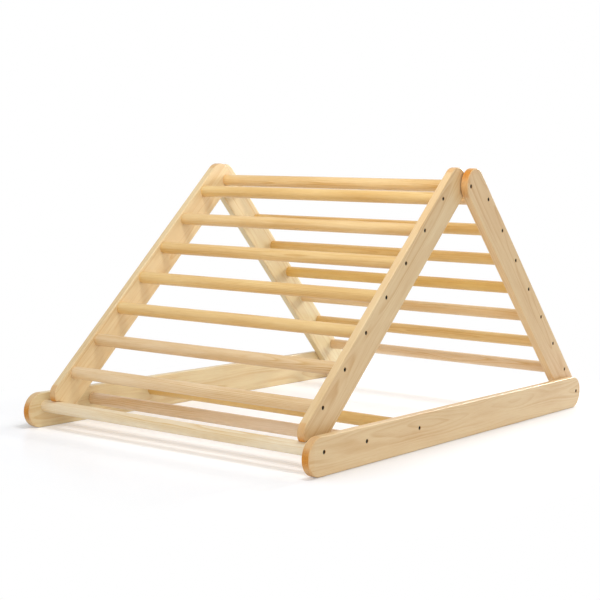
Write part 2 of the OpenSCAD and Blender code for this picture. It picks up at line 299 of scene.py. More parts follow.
def lacquered_wood(name, pale, dark, warm, ring_mm):
    """Solid wood under a satin clear lacquer: growth rings, fibres, clouds and dark soaked ends."""
    material = bpy.data.materials.new(name)
    material.use_nodes = True
    material.diffuse_color = srgb(pale)
    tree = material.node_tree
    tree.nodes.clear()
    own = {label: add_node(tree, "ShaderNodeAttribute", attribute_name=label)
           for label in ("grain", "grain_axis", "tone", "past_start", "past_end")}
    mm = add_node(tree, "ShaderNodeVectorMath", {0: own["grain"].outputs["Vector"], "Scale": 1 / MM},
                  operation="SCALE")
    noise = {}
    for label, (along, across, detail) in NOISES.items():
        place = add_node(tree, "ShaderNodeVectorMath", {0: mm, 1: (1 / along, 1 / across, 1 / across)},
                         operation="MULTIPLY")
        noise[label] = add_node(tree, "ShaderNodeTexNoise",
                                {"Vector": place, "Scale": 1.0, "Detail": detail})
    late = growth_rings(tree, mm, noise["bend"], ring_mm)
    ends = soaked_ends(tree, own, noise["creep"])

    # how much of the darker colour shows: rings that come and go, then fibres, then clouds
    patch = add_node(tree, "ShaderNodeMapRange", {"Value": noise["patch"], "From Min": PATCH_FROM,
                                                  "From Max": PATCH_TO, "To Max": RING_STRENGTH})
    rings = add_node(tree, "ShaderNodeMath", {0: late, 1: patch}, operation="MULTIPLY")
    fibres = add_node(tree, "ShaderNodeMath", {0: noise["fibre"], 1: FIBRE_STRENGTH, 2: rings},
                      operation="MULTIPLY_ADD")
    clouds = add_node(tree, "ShaderNodeMath", {0: noise["cloud"], 1: CLOUD_STRENGTH, 2: fibres},
                      operation="MULTIPLY_ADD")
    share = add_node(tree, "ShaderNodeMapRange", {"Value": clouds, "From Min": PALE_UP_TO,
                                                  "From Max": DARK_FROM})
    wood = add_node(tree, "ShaderNodeMix", {0: share, 6: srgb(pale), 7: srgb(dark)},
                    data_type="RGBA").outputs[2]
    golden = add_node(tree, "ShaderNodeMix", {0: own["tone"].outputs["Fac"], 6: wood, 7: srgb(warm)},
                      data_type="RGBA", blend_type="MULTIPLY").outputs[2]
    stained = add_node(tree, "ShaderNodeMix", {0: noise["creep"], 6: srgb(STAIN_PALE), 7: srgb(STAIN_DARK)},
                       data_type="RGBA").outputs[2]
    colour = add_node(tree, "ShaderNodeMix", {0: ends, 6: golden, 7: stained}, data_type="RGBA").outputs[2]

    # late wood stands a few hundredths of a millimetre proud under the lacquer, which is satin, not mirror
    relief = add_node(tree, "ShaderNodeMath", {0: late, 1: LATE_RELIEF, 2: noise["fibre"]},
                      operation="MULTIPLY_ADD")
    bump = add_node(tree, "ShaderNodeBump", {"Height": relief, "Strength": RELIEF_STRENGTH,
                                             "Distance": RELIEF_MM * MM})
    satin = add_node(tree, "ShaderNodeMath", {0: noise["fibre"], 1: FIBRE_DULLS, 2: SATIN},
                     operation="MULTIPLY_ADD")
    rough = add_node(tree, "ShaderNodeMath", {0: ends, 1: ENDS_DULL, 2: satin}, operation="MULTIPLY_ADD")
    coat = add_node(tree, "ShaderNodeMapRange", {"Value": ends, "To Min": LACQUER, "To Max": 0.0})
    surface = add_node(tree, "ShaderNodeBsdfPrincipled",
                       {"Base Color": colour, "Roughness": rough, "Normal": bump, "IOR": 1.5,
                        "Coat Weight": coat, "Coat Roughness": LACQUER_ROUGHNESS})
    add_node(tree, "ShaderNodeOutputMaterial", {"Surface": surface})
    return material


board_wood = lacquered_wood("lacquered_birch_board", pale="#EEE2B9", dark="#D3B074", warm="#F9D1A9",
                            ring_mm=3.4)
rung_wood = lacquered_wood("lacquered_birch_dowel", pale="#F5E1CE", dark="#CC9D44", warm="#F9E389",
                           ring_mm=2.6)
# painted light: the front dowel's near-white colours stand in for the light and sheen that it catches in
# front
painted_light_wood = lacquered_wood("lacquered_birch_dowel_painted_light", pale="#FAEDD2", dark="#D8AA50", warm="#F9E389",
                           ring_mm=2.6)
print("materials", [m.name for m in bpy.data.materials])

# %% [markdown]
# ## Boards, made as in the workshop
# Each rail is a board with rounded ends: full round everywhere but on the feet of the front ladder, where
# each corner has a smaller radius. A joiner saws the outline, rounds over every edge with a router and then
# drills it, and the modifiers do the same in the same order. A first tree makes the outline as the convex
# hull of discs, two in the corners of each end. A Bevel modifier is the router. A second tree drills: it
# places cutters at points that carry their own radii and depths, and subtracts them with a Mesh Boolean.

# %% The outline tree
DISC_SIDES = 160               # of the discs that give a board its round ends


def outline_tree():
    """The outline of a board from tip to tip: the hull of a disc in each corner."""
    tree, size = new_tree("round_cornered_board", {"From": "Float", "To": "Float", "Width": "Float",
                                                   "Thickness": "Float", "From Corner": "Float",
                                                   "To Corner": "Float"})
    half = add_node(tree, "ShaderNodeMath", {0: size["Width"], 1: 0.5}, operation="MULTIPLY")
    corners = add_node(tree, "GeometryNodeJoinGeometry")
    for tip, corner, inward in (("From", "From Corner", 1.0), ("To", "To Corner", -1.0)):
        disc = add_node(tree, "GeometryNodeMeshCylinder", {"Vertices": DISC_SIDES, "Radius": size[corner],
                                                           "Depth": size["Thickness"]})
        along = add_node(tree, "ShaderNodeMath", {0: size[corner], 1: inward, 2: size[tip]},
                         operation="MULTIPLY_ADD")
        out = add_node(tree, "ShaderNodeMath", {0: half, 1: size[corner]}, operation="SUBTRACT")
        back = add_node(tree, "ShaderNodeMath", {0: out, 1: -1.0}, operation="MULTIPLY")
        upper = add_node(tree, "ShaderNodeCombineXYZ", {"X": along, "Y": out})
        lower = add_node(tree, "ShaderNodeCombineXYZ", {"X": along, "Y": back})
        pair = add_node(tree, "GeometryNodeMeshLine", {"Count": 2, "Start Location": upper, "Offset": lower},
                        mode="END_POINTS")
        discs = add_node(tree, "GeometryNodeInstanceOnPoints", {"Points": pair, "Instance": disc})
        real = add_node(tree, "GeometryNodeRealizeInstances", {0: discs})
        tree.links.new(real.outputs[0], corners.inputs[0])
    hull = add_node(tree, "GeometryNodeConvexHull", {0: corners})
    add_node(tree, "NodeGroupOutput", {0: hull})
    return tree


# %% The notch cutter
NOTCH_SIDES, NOTCH_BANDS = 128, 44   # faces round the cutter and bands along it


def notch_cutter(tree, size, half):
    """A round cutter that swells at both faces of the board, which eases the notch's edges."""
    depth = add_node(tree, "ShaderNodeMath", {0: size["Thickness"], 1: OVER}, operation="ADD")
    blank = add_node(tree, "GeometryNodeMeshCylinder",
                     {"Vertices": NOTCH_SIDES, "Side Segments": NOTCH_BANDS, "Radius": 1.0, "Depth": depth})
    position = add_node(tree, "GeometryNodeInputPosition")
    place = add_node(tree, "ShaderNodeSeparateXYZ", {0: position}).outputs
    level = add_node(tree, "ShaderNodeMath", {0: place["Z"]}, operation="ABSOLUTE")
    inner = add_node(tree, "ShaderNodeMath", {0: half, 1: size["Ease"]}, operation="SUBTRACT")
    past = add_node(tree, "ShaderNodeMath", {0: level, 1: inner}, operation="SUBTRACT")
    share = add_node(tree, "ShaderNodeMath", {0: past, 1: size["Ease"]}, operation="DIVIDE")
    lip = add_node(tree, "ShaderNodeClamp", {"Value": share})
    square = add_node(tree, "ShaderNodeMath", {0: lip, 1: lip}, operation="MULTIPLY")
    rest = add_node(tree, "ShaderNodeMath", {0: 1.0, 1: square}, operation="SUBTRACT")
    arc = add_node(tree, "ShaderNodeMath", {0: rest}, operation="SQRT")
    swell = add_node(tree, "ShaderNodeMath", {0: 1.0, 1: arc}, operation="SUBTRACT")
    radius = add_node(tree, "ShaderNodeMath", {0: swell, 1: size["Ease"], 2: size["Notch Radius"]},
                      operation="MULTIPLY_ADD")
    wide = add_node(tree, "ShaderNodeCombineXYZ", {"X": radius, "Y": radius, "Z": 1.0})
    turned = add_node(tree, "ShaderNodeVectorMath", {0: position, 1: wide}, operation="MULTIPLY")
    return add_node(tree, "GeometryNodeSetPosition", {"Geometry": blank, "Position": turned})


# %% The drilling tree
# 0 cuts right through the board, 1 cuts in from its outer face and -1 from its inner face
CUTS = {"through": 0.0, "recess": 1.0, "socket": -1.0, "mouth": 1.0, "notch": 0.0}
BIT_SIDES = 96                 # faces round a hole
MOUTH_FLARE = 1.12             # the upper radius of a mouth's cutter, against its lower one
CRISP_ANGLE = math.radians(35)   # sharper edges than this stay crisp in the shading


def drilling_tree():
    """Subtracts cutters on the points of a plan; each point holds the radii and depths it needs."""
    tree, size = new_tree("drilled_board", {"Plan": "Object", "Thickness": "Float", "Ease": "Float",
                                            "Notch Radius": "Float", "Wood": "Material"})
    plan = add_node(tree, "GeometryNodeObjectInfo", {"Object": size["Plan"]}).outputs["Geometry"]
    half = add_node(tree, "ShaderNodeMath", {0: size["Thickness"], 1: 0.5}, operation="MULTIPLY")
    straight_bit = add_node(tree, "GeometryNodeMeshCylinder", {"Vertices": BIT_SIDES, "Radius": 1.0,
                                                               "Depth": 1.0})
    flared = add_node(tree, "GeometryNodeMeshCone", {"Vertices": BIT_SIDES, "Radius Top": MOUTH_FLARE,
                                                     "Radius Bottom": 1.0, "Depth": 1.0})
    flared_bit = add_node(tree, "GeometryNodeTransform", {0: flared, "Translation": (0, 0, -0.5)})
    bits = {"mouth": flared_bit, "notch": notch_cutter(tree, size, half)}

    cutters = []
    for kind, side in CUTS.items():
        wanted = {what: add_node(tree, "GeometryNodeInputNamedAttribute", {"Name": f"{kind}_{what}"},
                                 data_type="FLOAT") for what in ("radius", "depth")}
        height = add_node(tree, "ShaderNodeMath", {0: wanted["depth"], 1: OVER}, operation="ADD")
        bottom = add_node(tree, "ShaderNodeMath", {0: half, 1: wanted["depth"]}, operation="SUBTRACT")
        centre = add_node(tree, "ShaderNodeMath", {0: height, 1: 0.5, 2: bottom}, operation="MULTIPLY_ADD")
        sunk = add_node(tree, "ShaderNodeMath", {0: centre, 1: side}, operation="MULTIPLY")
        offset = add_node(tree, "ShaderNodeCombineXYZ", {"Z": sunk})
        placed = add_node(tree, "GeometryNodeSetPosition", {"Geometry": plan, "Offset": offset})
        stretch = add_node(tree, "ShaderNodeCombineXYZ", {"X": wanted["radius"], "Y": wanted["radius"],
                                                          "Z": height})
        chosen = add_node(tree, "ShaderNodeMath", {0: wanted["radius"], 1: 0.0}, operation="GREATER_THAN")
        copies = add_node(tree, "GeometryNodeInstanceOnPoints",
                          {"Points": placed, "Selection": chosen, "Instance": bits.get(kind, straight_bit),
                           "Scale": (1, 1, 1) if kind == "notch" else stretch})
        cutters.append(add_node(tree, "GeometryNodeRealizeInstances", {0: copies}))

    drilled = add_node(tree, "GeometryNodeMeshBoolean", {0: tree.nodes["Group Input"].outputs["Geometry"]},
                       operation="DIFFERENCE", solver="EXACT")
    for cutter in cutters:
        tree.links.new(cutter.outputs[0], drilled.inputs[1])
    smooth = add_node(tree, "GeometryNodeSetShadeSmooth", {0: drilled, "Shade Smooth": True})
    angle = add_node(tree, "GeometryNodeInputMeshEdgeAngle").outputs["Unsigned Angle"]
    sharp = add_node(tree, "ShaderNodeMath", {0: angle, 1: CRISP_ANGLE}, operation="GREATER_THAN")
    crisp = add_node(tree, "GeometryNodeSetShadeSmooth",
                     {0: smooth, "Selection": sharp, "Shade Smooth": False}, domain="EDGE")
    wood = add_node(tree, "GeometryNodeSetMaterial", {0: crisp, "Material": size["Wood"]})
    add_node(tree, "NodeGroupOutput", {0: wood})
    return tree


outline, drill = outline_tree(), drilling_tree()
print("trees:", outline.name, "and", drill.name)

# %% [markdown]
# ## The six boards
# Sizes come from the frame: the CAD board's extent in its own bench frame, and the rung axes that cross it.
# Only the front ladder's feet are written here, because seen close they are rounder and a little shorter
# than their solids. What the frame does not name is the drilling, so those radii and depths are written here
# once. A board and its mirror image come from different logs, so each has its own place in the grain. The
# left boards have lower tones, as the far ones in the photograph are the paler. This is painted light: it
# paints in the light that falls on their inner faces.

# %% Sizes of the drillings
EASE = 3 * MM             # rounding of the edges of a board and of its notch
FOOT_CORNER = 30 * MM     # radius of the corners of the front ladder's feet
FOOT_TRIM = 1.5 * MM      # how much shorter than its solid each of these feet is
SEAT_PLAY = 0.1 * MM      # room round the end of a rung in its socket
NOTCH_PLAY = 1 * MM       # room round the front dowel in the notch of a foot
NOTCH_RADIUS = rung_radius + NOTCH_PLAY
DRILLINGS = {
    "rung": {"through_radius": 2.6 * MM, "recess_radius": 5.1 * MM, "recess_depth": 5 * MM,
             "socket_radius": rung_radius + SEAT_PLAY, "socket_depth": 8 * MM,
             "mouth_radius": 5.1 * MM, "mouth_depth": 0.5 * MM},
    "hinge_seat": {"through_radius": 3.05 * MM, "recess_radius": 5.3 * MM, "recess_depth": 5 * MM,
                   "mouth_radius": 5.3 * MM, "mouth_depth": 0.5 * MM},
    "hinge_bore": {"through_radius": 3.2 * MM},
    "insert": {"recess_radius": 5.05 * MM, "recess_depth": 14 * MM,
               "mouth_radius": 6.05 * MM, "mouth_depth": 1.5 * MM},
    "notch": {"notch_radius": NOTCH_RADIUS},
}
print("holes for", ", ".join(DRILLINGS))


# %% Helpers for a board
def drilling_plan(name, drillings, thickness):
    """The points of a drilling plan, each with the radii and depths of its kind."""
    labels = [f"{kind}_{size}" for kind in CUTS for size in ("radius", "depth")]
    columns = {label: [DRILLINGS[kind].get(label, 0.0) for kind, _ in drillings] for label in labels}
    columns["through_depth"] = [thickness + OVER] * len(drillings)
    return points_object(name, [(p.x, p.y, 0) for _, p in drillings], **columns)


def add_attribute(mesh, label, kind, values):
    """Stores a number or a vector for each point of a mesh."""
    field = "value" if kind == "FLOAT" else "vector"
    mesh.attributes.new(label, kind, "POINT").data.foreach_set(field, np.asarray(values, float).ravel())


def inset(across, width, corner):
    """How far a rounded end lies back from its tip, at a distance across the board from its centre line."""
    past = np.maximum(np.abs(across) - (width / 2 - corner), 0)
    return corner - np.sqrt(np.maximum(corner ** 2 - past ** 2, 0))


# %% Make a board
ROUTER_STEPS = 6               # faces across a rounded edge
ROUTER_ANGLE = math.radians(40)   # the router rounds edges sharper than this


def make_board(node, place, drillings, log_place, tone, corner=None, trim=0.0):
    """Saws, rounds and drills one board on the bench and puts it in the place of its node."""
    low, high = extent(node, place)
    width, thickness = high[1] - low[1], high[2] - low[2]
    start, end, start_corner, end_corner = low[0], high[0] - trim, width / 2, corner or width / 2
    place = place @ Matrix.Translation((0, (high[1] + low[1]) / 2, (high[2] + low[2]) / 2))
    to_bench = place.inverted()
    plan = drilling_plan(node + "_plan", [(kind, to_bench @ point) for kind, point in drillings], thickness)
    holder = points_object(node + "_bench", [])
    run_tree(holder, outline, {"From": start, "To": end, "Width": width, "Thickness": thickness,
                               "From Corner": start_corner, "To Corner": end_corner})
    router = holder.modifiers.new("router", "BEVEL")
    router.width, router.segments, router.limit_method = EASE, ROUTER_STEPS, "ANGLE"
    router.angle_limit, router.use_clamp_overlap = ROUTER_ANGLE, False
    run_tree(holder, drill, {"Plan": plan, "Thickness": thickness, "Ease": EASE, "Wood": board_wood,
                             "Notch Radius": NOTCH_RADIUS})
    holder.modifiers.new("flat faces", "WEIGHTED_NORMAL").keep_sharp = True
    mesh = bake_down(holder)
    bpy.data.objects.remove(plan)

    points = np.array([v.co for v in mesh.vertices])
    add_attribute(mesh, "grain", "FLOAT_VECTOR", points + np.array(log_place))
    add_attribute(mesh, "grain_axis", "FLOAT_VECTOR",
                  np.tile((place.to_3x3() @ Vector((1, 0, 0))).normalized(), (len(points), 1)))
    add_attribute(mesh, "tone", "FLOAT", [tone] * len(points))
    add_attribute(mesh, "past_start", "FLOAT",
                  points[:, 0] - start - inset(points[:, 1], width, start_corner))
    add_attribute(mesh, "past_end", "FLOAT", end - points[:, 0] - inset(points[:, 1], width, end_corner))
    mesh.transform(place)
    hand_over("wood_" + node, mesh, "wood_rail", node)


# %% Lay out and make the boards
# where in its log a right board was cut, in metres: along the trunk, then two ways from the heart
LOG_PLACES = {"base": (0.3, 0.012, 0.055), "rear": (1.7, -0.018, 0.07), "front": (3.1, 0.02, 0.06)}
# how golden each board is, from 0 to 1; the left boards' lower tones are painted light, which makes the far
# rails paler
TONES_AND_PAINTED_LIGHT = {"right": {"base": 0.5, "rear": 0.6, "front": 0.5},
         "left": {"base": 0.2, "rear": 0.1, "front": 0.35}}
for side, hand in ((1, "right"), (-1, "left")):
    log = {part: (x, y, z * side) for part, (x, y, z) in LOG_PLACES.items()}
    tone = TONES_AND_PAINTED_LIGHT[hand]
    base = bench(foot_pivot, (0, -1, 0), side)
    rear = bench(top_hinge, down_rear, side)
    front = bench(top_hinge, down_front, side)
    make_board(f"base_rail_{hand}", base, [("rung", p) for p in dowels] + [("hinge_seat", foot_pivot)],
               log["base"], tone["base"])
    make_board(f"rear_rail_{hand}", rear,
               [("rung", p) for p in rear_rungs] + [("hinge_seat", top_hinge), ("insert", foot_pivot)],
               log["rear"], tone["rear"])
    make_board(f"front_rail_{hand}", front,
               [("rung", p) for p in front_rungs] + [("hinge_bore", top_hinge), ("notch", dowels[0])],
               log["front"], tone["front"], FOOT_CORNER, FOOT_TRIM)

# %% [markdown]
# ## Turned rungs
# All rungs are the same dowel, so one tree makes one dowel along X and copies it to every rung axis of the
# frame. Each copy is rolled by a random angle, shifted along its log and given its own tone, so that no two
# show the same grain. The fixed seed keeps them the same in every run, and the seeds of the rear rungs and
# the inner dowels were picked so that the paler ones lie where the photograph has them. The rear rungs'
# tones reach higher than the front ones'. This is partly at random and partly painted shade, as the rear
# rungs stand in the shade of the front ladder. The grain coordinates are stored before the copying, because
# after it every rung would share one pattern. The front dowel of the base is painted paler than the rest, a
# painted light for the light and sheen that it catches in front, so it has its own material.

# %% The rung tree
RUNG_SIDES = 72                # faces round a rung
ALONG_X = Euler((0, math.pi / 2, 0))   # lays a cylinder that stands on Z along X
LOG_FROM, LOG_TO = (-3, 0.005, 0.03), (3, 0.03, 0.09)   # where in a log a rung may come from, in metres


def rung_tree():
    """Copies one dowel to every point, each with its own roll, place in the log and tone."""
    tree, size = new_tree("turned_rungs", {"Length": "Float", "Radius": "Float", "Seed": "Int",
                                           "Least Tone": "Float", "Most Tone": "Float", "Wood": "Material"})
    upright = add_node(tree, "GeometryNodeMeshCylinder", {"Vertices": RUNG_SIDES, "Radius": size["Radius"],
                                                          "Depth": size["Length"]})
    geometry = add_node(tree, "GeometryNodeTransform", {0: upright, "Rotation": ALONG_X})
    position = add_node(tree, "GeometryNodeInputPosition")
    along = add_node(tree, "ShaderNodeSeparateXYZ", {0: position}).outputs["X"]
    half = add_node(tree, "ShaderNodeMath", {0: size["Length"], 1: 0.5}, operation="MULTIPLY")
    past_start = add_node(tree, "ShaderNodeMath", {0: half, 1: along}, operation="ADD")
    past_end = add_node(tree, "ShaderNodeMath", {0: half, 1: along}, operation="SUBTRACT")
    for label, kind, value in (("grain", "FLOAT_VECTOR", position),
                               ("grain_axis", "FLOAT_VECTOR", (1, 0, 0)),
                               ("past_start", "FLOAT", past_start), ("past_end", "FLOAT", past_end)):
        geometry = add_node(tree, "GeometryNodeStoreNamedAttribute",
                            {0: geometry, "Name": label, "Value": value}, data_type=kind, domain="POINT")
    roll = add_node(tree, "FunctionNodeRandomValue", {"Min": (0, 0, 0), "Max": (2 * math.pi, 0, 0),
                                                      "Seed": size["Seed"]}, data_type="FLOAT_VECTOR")
    copies = add_node(tree, "GeometryNodeInstanceOnPoints",
                      {"Points": tree.nodes["Group Input"].outputs["Geometry"], "Instance": geometry,
                       "Rotation": roll})
    log = add_node(tree, "FunctionNodeRandomValue", {"Min": LOG_FROM, "Max": LOG_TO,
                                                     "Seed": size["Seed"]}, data_type="FLOAT_VECTOR")
    tone = add_node(tree, "FunctionNodeRandomValue", {2: size["Least Tone"], 3: size["Most Tone"],
                                                      "Seed": size["Seed"]}, data_type="FLOAT").outputs[1]
    for label, kind, value in (("log_place", "FLOAT_VECTOR", log), ("tone", "FLOAT", tone)):
        copies = add_node(tree, "GeometryNodeStoreNamedAttribute",
                          {0: copies, "Name": label, "Value": value}, data_type=kind, domain="INSTANCE")
    real = add_node(tree, "GeometryNodeRealizeInstances", {0: copies})
    own = add_node(tree, "GeometryNodeInputNamedAttribute", {"Name": "grain"}, data_type="FLOAT_VECTOR")
    away = add_node(tree, "GeometryNodeInputNamedAttribute", {"Name": "log_place"}, data_type="FLOAT_VECTOR")
    total = add_node(tree, "ShaderNodeVectorMath", {0: own, 1: away}, operation="ADD")
    grained = add_node(tree, "GeometryNodeStoreNamedAttribute", {0: real, "Name": "grain", "Value": total},
                       data_type="FLOAT_VECTOR", domain="POINT")
    wood = add_node(tree, "GeometryNodeSetMaterial", {0: grained, "Material": size["Wood"]})
    add_node(tree, "NodeGroupOutput", {0: wood})
    return tree


# %% Make the rungs
CHAMFER = 1 * MM               # on the ends of a rung
lathe = rung_tree()


def make_rungs(name, nodes, seed, least_tone, most_tone, wood=rung_wood):
    """One mesh with the dowels of one body, which stand for their nodes."""
    low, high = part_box(nodes[0])
    holder = points_object(name + "_points", [middle(node) for node in nodes])
    run_tree(holder, lathe, {"Length": high.x - low.x, "Radius": (high.z - low.z) / 2, "Seed": seed,
                             "Least Tone": least_tone, "Most Tone": most_tone, "Wood": wood})
    chamfer = holder.modifiers.new("chamfer", "BEVEL")
    chamfer.width, chamfer.segments, chamfer.limit_method = CHAMFER, 2, "ANGLE"
    chamfer.harden_normals = True
    hand_over(name, bake_down(holder), "wood_rung", *nodes)


make_rungs("rungs_front", [f"front_rung_{n}" for n in RUNGS], seed=3, least_tone=0.3, most_tone=0.8)
# partly painted shade: the rear rungs' tones reach higher, which makes them more golden where the front
# ladder shades them
make_rungs("rungs_rear", [f"rear_rung_{n}" for n in RUNGS], seed=696, least_tone=0.3, most_tone=0.95)
make_rungs("rung_top_hinge", ["hinge_dowel"], seed=21, least_tone=0.65, most_tone=0.65)
make_rungs("dowel_front", ["base_dowel_front"], seed=5, least_tone=0.0, most_tone=0.0, wood=painted_light_wood)
make_rungs("dowels_inner", ["base_dowel_middle", "base_dowel_rear"], seed=196, least_tone=0.2,
           most_tone=0.85)

# %% [markdown]
# ## Screws and bolts
# Every rung end has one screw with a hexagon socket, its head sunk just below the wood, and the hinges turn
# on bolts of the same kind. They differ only in size, so one tree makes them all: a head and a shank,
# joined, with the socket cut out by a Mesh Boolean, then copied to points that say which way they face. A
# small bevel gives each head the bright rim that makes it read as metal.

# %% The screw tree
def screw_tree():
    """Socket-head screws on points; the head's face is on the point and faces along X times its side."""
    tree, size = new_tree("socket_head_screws", {"Head Radius": "Float", "Head Height": "Float",
                                                 "Shank Radius": "Float", "Shank Length": "Float",
                                                 "Key Radius": "Float", "Key Depth": "Float",
                                                 "Steel": "Material"})
    parts = {}
    for label, sides, radius, length in (("head", 48, size["Head Radius"], size["Head Height"]),
                                         ("shank", 24, size["Shank Radius"], size["Shank Length"]),
                                         ("key", 6, size["Key Radius"], size["Key Depth"])):
        parts[label] = add_node(tree, "GeometryNodeMeshCylinder", {"Vertices": sides, "Radius": radius,
                                                                   "Depth": length})
    head_middle = add_node(tree, "ShaderNodeMath", {0: size["Head Height"], 1: -0.5}, operation="MULTIPLY")
    shank_middle = add_node(tree, "ShaderNodeMath", {0: size["Shank Length"], 1: -0.5}, operation="MULTIPLY")
    laid = {}
    for label, centre in (("head", head_middle), ("shank", shank_middle), ("key", None)):
        offset = add_node(tree, "ShaderNodeCombineXYZ", {"X": centre} if centre else {})
        laid[label] = add_node(tree, "GeometryNodeTransform", {0: parts[label], "Translation": offset,
                                                               "Rotation": ALONG_X})
    joined = add_node(tree, "GeometryNodeMeshBoolean", operation="UNION", solver="EXACT")
    for label in ("head", "shank"):
        tree.links.new(laid[label].outputs[0], joined.inputs[1])
    screw = add_node(tree, "GeometryNodeMeshBoolean", {0: joined, 1: laid["key"]}, operation="DIFFERENCE",
                     solver="EXACT")
    side = add_node(tree, "GeometryNodeInputNamedAttribute", {"Name": "side"}, data_type="FLOAT")
    turn = add_node(tree, "ShaderNodeMapRange", {"Value": side, "From Min": -1.0, "From Max": 1.0,
                                                 "To Min": math.pi, "To Max": 0.0})
    facing = add_node(tree, "ShaderNodeCombineXYZ", {"Z": turn})
    copies = add_node(tree, "GeometryNodeInstanceOnPoints",
                      {"Points": tree.nodes["Group Input"].outputs["Geometry"], "Instance": screw,
                       "Rotation": facing})
    real = add_node(tree, "GeometryNodeRealizeInstances", {0: copies})
    steel = add_node(tree, "GeometryNodeSetMaterial", {0: real, "Material": size["Steel"]})
    add_node(tree, "NodeGroupOutput", {0: steel})
    return tree


# %% [markdown]
# Black oxide is a bath that turns the steel itself black, a thousandth of a millimetre deep. It stays a
# metal, so it is a metallic surface with a nearly black, slightly brown colour and a soft shine. The
# threaded inserts are zinc plated yellow, and the washers between the rails are natural nylon, which is
# milky and matt. These two hardly show, so the CAD solids stay and only get the finish.

# %% Steel, zinc and nylon
MOTTLE = 0.1                   # how much rougher or smoother than its roughness a finish gets in spots


def plain_finish(name, colour, metallic, roughness, mottle_mm):
    """An even finish whose roughness has a faint mottle."""
    material = bpy.data.materials.new(name)
    material.use_nodes = True
    material.diffuse_color = srgb(colour)
    tree = material.node_tree
    tree.nodes.clear()
    place = add_node(tree, "ShaderNodeTexCoord").outputs["Object"]
    mottle = add_node(tree, "ShaderNodeTexNoise", {"Vector": place, "Scale": 1 / (mottle_mm * MM),
                                                   "Detail": 2.0})
    rough = add_node(tree, "ShaderNodeMapRange", {"Value": mottle, "To Min": roughness - MOTTLE,
                                                  "To Max": roughness + MOTTLE})
    surface = add_node(tree, "ShaderNodeBsdfPrincipled",
                       {"Base Color": srgb(colour), "Metallic": metallic, "Roughness": rough})
    add_node(tree, "ShaderNodeOutputMaterial", {"Surface": surface})
    return material


black_oxide = plain_finish("black_oxide_steel", "#2B241D", metallic=1.0, roughness=0.42, mottle_mm=1.5)
zinc = plain_finish("yellow_zinc_plating", "#C9B071", metallic=1.0, roughness=0.35, mottle_mm=1.0)
nylon = plain_finish("natural_nylon", "#E4DFCF", metallic=0.0, roughness=0.5, mottle_mm=2.0)
for node, material in (("apex_inserts", zinc), ("foot_inserts", zinc),
                       ("apex_washers", nylon), ("foot_washers", nylon)):
    frame["nodes"][node].data.materials.clear()
    frame["nodes"][node].data.materials.append(material)
    print(node, "finished as", material.name)

# %% Make the screws and bolts
screws = screw_tree()
KEY_DEPTH = 2.2 * MM           # of the hexagon socket; its cutter stands half out of the head
RIM = 0.2 * MM                 # bevel on the edges of a head
RIM_ANGLE = math.radians(50)   # which takes only edges sharper than this
SCREW = {"Head Radius": 5 * MM, "Head Height": 4 * MM, "Shank Radius": 2.5 * MM, "Key Radius": 1.73 * MM,
         "Key Depth": 2 * KEY_DEPTH, "Steel": black_oxide}
BOLT = {**SCREW, "Shank Radius": 3 * MM, "Key Radius": 2.31 * MM}


def make_screws(node, sizes, axes):
    """Screws at both ends of every axis, as long as the node's own, with heads where its box ends."""
    low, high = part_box(node)
    length = high.x - min(v.co.x for v in frame["nodes"][node].data.vertices if v.co.x > 0)
    places = [((high.x if side > 0 else low.x), p.y, p.z) for p in axes for side in (1, -1)]
    holder = points_object(node + "_points", places, side=[1.0, -1.0] * len(axes))
    run_tree(holder, screws, {**sizes, "Shank Length": length})
    rim = holder.modifiers.new("rim", "BEVEL")
    rim.width, rim.segments, rim.limit_method = RIM, 2, "ANGLE"
    rim.angle_limit, rim.harden_normals = RIM_ANGLE, True
    hand_over("steel_" + node, bake_down(holder), "dark_steel", node)


for node, sizes, axes in (("base_screws", SCREW, dowels), ("rear_screws", SCREW, rear_rungs),
                          ("front_screws", SCREW, front_rungs), ("apex_bolts", BOLT, [top_hinge]),
                          ("foot_bolts", BOLT, [foot_pivot])):
    make_screws(node, sizes, axes)

# %% [markdown]
# ## The studio
# The object stands on white acrylic that mirrors a little, in white surroundings. For the camera the floor
# is lifted to pure white with a little emission, which leaves the light on the object alone and keeps its
# soft shadow. Just outside the base rails the lift gives way where an Ambient Occlusion node finds the floor
# crowded, so the shade where the rails meet the floor stays. A short way outside the object's footprint the
# floor fades into the white background, so that no horizon shows.

# %% Floor
FLOOR_RADIUS, FLOOR_SIDES = 12.0, 64
FLOOR_GLOSS, FLOOR_ROUGHNESS = 0.12, 0.25   # share of the light that the floor mirrors, and how softly
FLOOR_LIFT = 0.24         # emission that only the camera sees
CONTACT_REACH = 250 * MM  # how far the shade of the base rails reaches over the floor
CONTACT_EDGE = 10 * MM    # width of the strip under a rail's outer side over which that shade sets in
OPEN, CROWDED = 0.95, 0.5   # ambient occlusion that leaves the whole lift, and that takes it all
FADE_FROM, FADE_TO = 0.15, 0.5   # metres outside the footprint where the fade to white begins and ends
floor_mesh = bpy.data.meshes.new("studio_floor")
rim = [(FLOOR_RADIUS * math.cos(a), FLOOR_RADIUS * math.sin(a), 0)
       for a in (2 * math.pi * i / FLOOR_SIDES for i in range(FLOOR_SIDES))]
floor_mesh.from_pydata(rim, [], [list(range(FLOOR_SIDES))])
floor = bpy.data.objects.new("studio_floor", floor_mesh)
bpy.context.scene.collection.objects.link(floor)
print("floor", 2 * FLOOR_RADIUS, "m across")

# %% Acrylic
acrylic = bpy.data.materials.new("white_acrylic_floor")
acrylic.use_nodes = True
tree = acrylic.node_tree
tree.nodes.clear()
seen = add_node(tree, "ShaderNodeLightPath").outputs["Is Camera Ray"]
matt = add_node(tree, "ShaderNodeBsdfDiffuse", {"Color": srgb("#F1F3F7")})
gloss = add_node(tree, "ShaderNodeBsdfGlossy", {"Color": (1, 1, 1, 1), "Roughness": FLOOR_ROUGHNESS})
lit = add_node(tree, "ShaderNodeMixShader", {0: FLOOR_GLOSS, 1: matt, 2: gloss})

